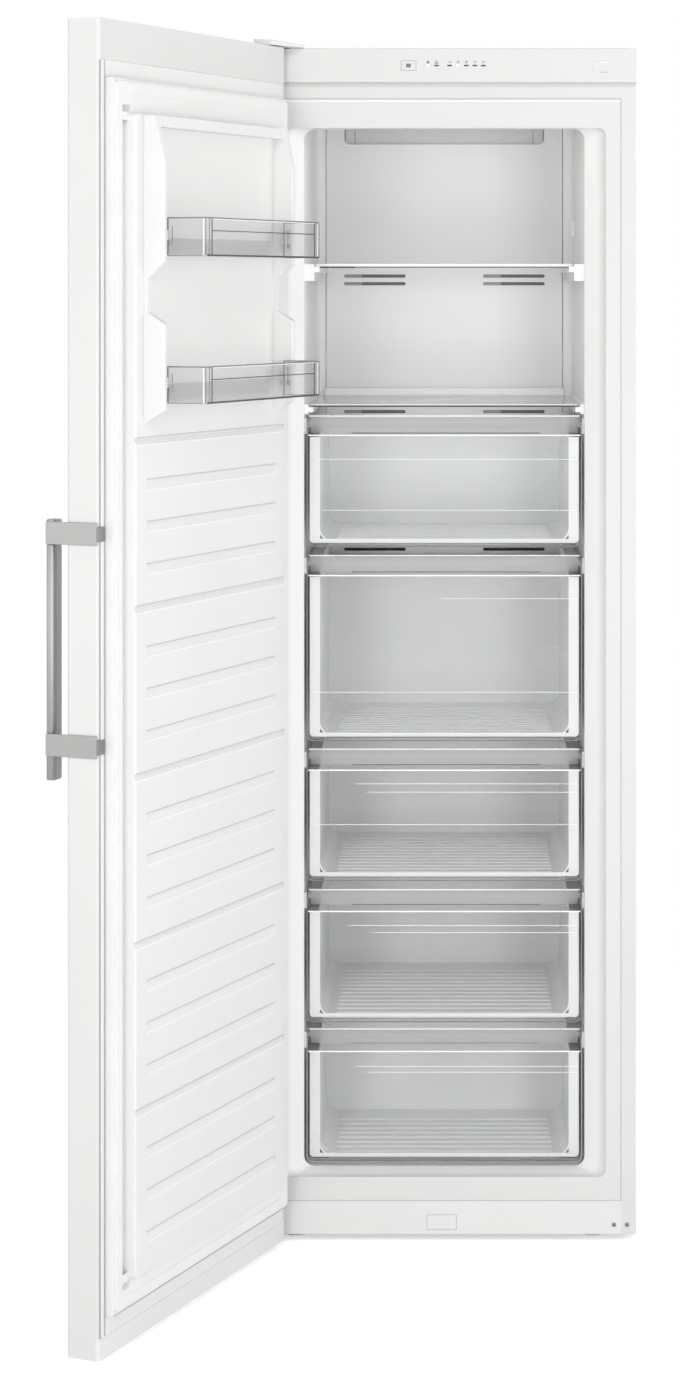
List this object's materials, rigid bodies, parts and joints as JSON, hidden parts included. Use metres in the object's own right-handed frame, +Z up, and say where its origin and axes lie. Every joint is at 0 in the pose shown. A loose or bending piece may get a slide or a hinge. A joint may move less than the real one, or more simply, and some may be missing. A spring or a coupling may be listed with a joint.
{
  "type": "upright freezer",
  "caption": "Tall white upright no-frost freezer with its door hung on the left, clear-fronted drawers, glass shelves, door bins, a bar handle and its cooling machinery.",
  "frame": {"origin": "on the floor, under the middle of the cabinet body's footprint", "axes": "+X right and +Y back as seen from the front, +Z up; the door is stored open at 112.3 degrees"},
  "size_m": [0.8483, 1.1682, 1.86],
  "materials": {
    "white_steel": "satin enamel",
    "zinc_steel": "galvanised",
    "white_enamel_rear": "matt paint",
    "white_sheet_plastic": "satin",
    "white_moulding": "satin",
    "warm_white_moulding": "satin",
    "clear_plastic": "polished",
    "shelf_glass": "polished",
    "foam_core": "matt foam",
    "grey_rubber": "matt",
    "black_rubber": "matt",
    "black_enamel": "satin",
    "black_plastic": "matt",
    "steel": "plain",
    "satin_aluminium": "satin lacquered",
    "fin_aluminium": "bare",
    "copper": "drawn",
    "circuit_board": "lacquered",
    "lens_plastic": "polished",
    "lamp_plastic": "opal"
  },
  "bodies": {
    "cabinet": {"cabinet_wrap": "white_steel", "back_panel": "white_enamel_rear", "bottom_pan": "zinc_steel", "machine_bay_plate": "zinc_steel", "cabinet_foam": "foam_core", "inner_liner": "white_sheet_plastic", "plinth": "white_moulding", "front_screws": "steel", "control_fascia": "white_moulding", "control_board": "circuit_board", "indicator_lenses": "lens_plastic", "ceiling_lamp": "lamp_plastic", "sensor_cover": "white_moulding", "evaporator_cover": "white_moulding", "evaporator_coil": "fin_aluminium", "defrost_heater": "steel", "drain_channel": "white_moulding", "fan_shroud": "black_plastic", "compressor_tray": "zinc_steel", "roller_axles": "steel", "compressor": "black_enamel", "compressor_mounts": "black_rubber", "terminal_box": "black_plastic", "evaporating_tray": "black_plastic", "filter_drier": "copper", "refrigerant_pipes": "copper", "condenser_coil": "steel", "top_hinge": "steel", "bottom_hinge": "steel", "top_hinge_cover": "white_moulding"},
    "door": {"door_skin": "white_steel", "door_top_cap": "warm_white_moulding", "door_bottom_cap": "warm_white_moulding", "door_foam": "foam_core", "door_liner": "white_sheet_plastic", "door_gasket": "grey_rubber", "handle_bar": "satin_aluminium", "handle_brackets": "satin_aluminium"},
    "door_bin_upper": {"door_bin_upper": "clear_plastic"},
    "door_bin_lower": {"door_bin_lower": "clear_plastic"},
    "upper_shelf": {"upper_shelf_glass": "shelf_glass", "upper_shelf_trim": "white_moulding"},
    "lower_shelf": {"lower_shelf_glass": "shelf_glass", "lower_shelf_trim": "white_moulding"},
    "mode_button": {"mode_button": "white_moulding"},
    "fan_rotor": {"fan_rotor": "white_moulding"},
    "rear_roller_left": {"rear_roller_left": "black_plastic"},
    "rear_roller_right": {"rear_roller_right": "black_plastic"},
    "front_foot_left": {"front_foot_left": "black_plastic"},
    "front_foot_right": {"front_foot_right": "black_plastic"},
    "drawer_1": {"drawer_bin_1": "white_moulding", "drawer_front_1": "clear_plastic"},
    "drawer_2": {"drawer_bin_2": "white_moulding", "drawer_front_2": "clear_plastic"},
    "drawer_3": {"drawer_bin_3": "white_moulding", "drawer_front_3": "clear_plastic"},
    "drawer_4": {"drawer_bin_4": "white_moulding", "drawer_front_4": "clear_plastic"},
    "drawer_5": {"drawer_bin_5": "white_moulding", "drawer_front_5": "clear_plastic"}
  },
  "joints": [
    {"name": "door_hinge", "type": "hinge", "parent": "cabinet", "child": "door", "pos_m": [-0.2765, -0.333, 0.93], "axis": [0, 0, -1], "range_deg": [-112.3, 17.7]},
    {"name": "drawer_1_slide", "type": "slide", "parent": "cabinet", "child": "drawer_1", "axis": [0, -1, 0], "range_m": [0, 0.3]},
    {"name": "drawer_2_slide", "type": "slide", "parent": "cabinet", "child": "drawer_2", "axis": [0, -1, 0], "range_m": [0, 0.3]},
    {"name": "drawer_3_slide", "type": "slide", "parent": "cabinet", "child": "drawer_3", "axis": [0, -1, 0], "range_m": [0, 0.3]},
    {"name": "drawer_4_slide", "type": "slide", "parent": "cabinet", "child": "drawer_4", "axis": [0, -1, 0], "range_m": [0, 0.3]},
    {"name": "drawer_5_slide", "type": "slide", "parent": "cabinet", "child": "drawer_5", "axis": [0, -1, 0], "range_m": [0, 0.2]},
    {"name": "upper_shelf_slide", "type": "slide", "parent": "cabinet", "child": "upper_shelf", "axis": [0, -1, 0], "range_m": [0, 0.25]},
    {"name": "lower_shelf_slide", "type": "slide", "parent": "cabinet", "child": "lower_shelf", "axis": [0, -1, 0], "range_m": [0, 0.25]},
    {"name": "door_bin_upper_lift", "type": "slide", "parent": "door", "child": "door_bin_upper", "axis": [0, 0, 1], "range_m": [0, 0.03]},
    {"name": "door_bin_lower_lift", "type": "slide", "parent": "door", "child": "door_bin_lower", "axis": [0, 0, 1], "range_m": [0, 0.03]},
    {"name": "mode_button_press", "type": "slide", "parent": "cabinet", "child": "mode_button", "axis": [0, 1, 0], "range_m": [0, 0.0015], "stiffness_N_per_m": 300},
    {"name": "fan_spin", "type": "hinge", "parent": "cabinet", "child": "fan_rotor", "pos_m": [0, 0.213, 1.59], "axis": [0, 1, 0], "continuous": true},
    {"name": "rear_roller_left_spin", "type": "hinge", "parent": "cabinet", "child": "rear_roller_left", "pos_m": [-0.255, 0.264, 0.013], "axis": [1, 0, 0], "continuous": true},
    {"name": "rear_roller_right_spin", "type": "hinge", "parent": "cabinet", "child": "rear_roller_right", "pos_m": [0.255, 0.264, 0.013], "axis": [1, 0, 0], "continuous": true},
    {"name": "front_foot_left_turn", "type": "hinge", "parent": "cabinet", "child": "front_foot_left", "pos_m": [-0.232, -0.247, 0.02], "axis": [0, 0, 1], "continuous": true},
    {"name": "front_foot_right_turn", "type": "hinge", "parent": "cabinet", "child": "front_foot_right", "pos_m": [0.232, -0.247, 0.02], "axis": [0, 0, 1], "continuous": true}
  ]
}
